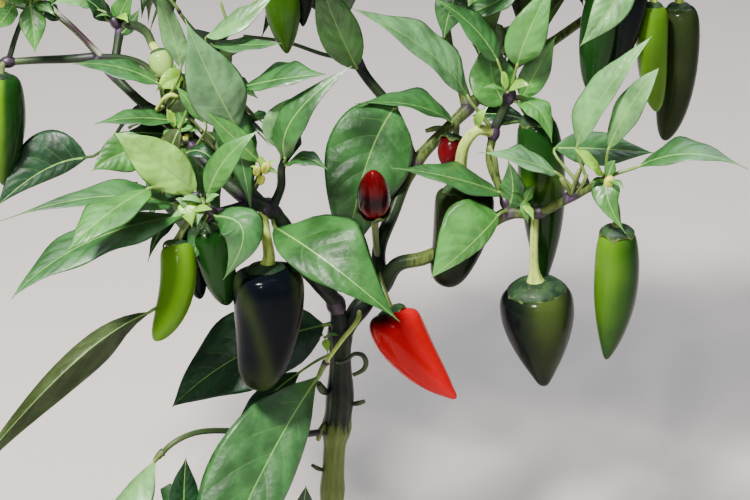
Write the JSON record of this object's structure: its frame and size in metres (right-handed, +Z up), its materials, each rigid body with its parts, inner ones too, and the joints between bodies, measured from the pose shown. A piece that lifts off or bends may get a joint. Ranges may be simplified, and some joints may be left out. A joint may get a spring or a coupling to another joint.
{
  "type": "chilli pepper plant",
  "caption": "Rooted chilli pepper plant: one leaning green stem that forks into crooked boughs with open clusters of glossy pointed leaves and hanging blunt and pointed peppers",
  "frame": {"origin": "the middle of the flat cut under the main stem, at ground level", "axes": "+Z up along the main stem, +X to the right of the view that shows the stem's fork, +Y away from that view"},
  "size_m": [0.3943, 0.335, 0.5172],
  "materials": {
    "stem": "ridged green stem, satin",
    "bough": "dark green bough with purple nodes, satin",
    "foliage": "glossy leaf green",
    "fruit": "very glossy waxy skin"
  },
  "bodies": {
    "root": {"bough_back": "bough", "bough_high": "bough", "bough_left": "bough", "bough_right": "bough", "bough_upright": "bough", "branch_back_left": "bough", "branch_back_low": "bough", "branch_back_right": "bough", "branch_centre": "bough", "branch_high_right": "bough", "branch_inner": "bough", "branch_left_arm": "bough", "branch_left_head": "bough", "branch_left_high": "bough", "branch_low": "bough", "leaves_back": "foliage", "leaves_back_left": "foliage", "leaves_back_low": "foliage", "leaves_back_right": "foliage", "leaves_behind": "foliage", "leaves_centre": "foliage", "leaves_heart": "foliage", "leaves_high": "foliage", "leaves_high_right": "foliage", "leaves_inner": "foliage", "leaves_left_arm": "foliage", "leaves_left_crown": "foliage", "leaves_left_head": "foliage", "leaves_left_high": "foliage", "leaves_low": "foliage", "leaves_low_front": "foliage", "leaves_low_left": "foliage", "leaves_middle": "foliage", "leaves_right": "foliage", "leaves_top_middle": "foliage", "leaves_top_right": "foliage", "main_stem": "stem"}
  },
  "joints": []
}
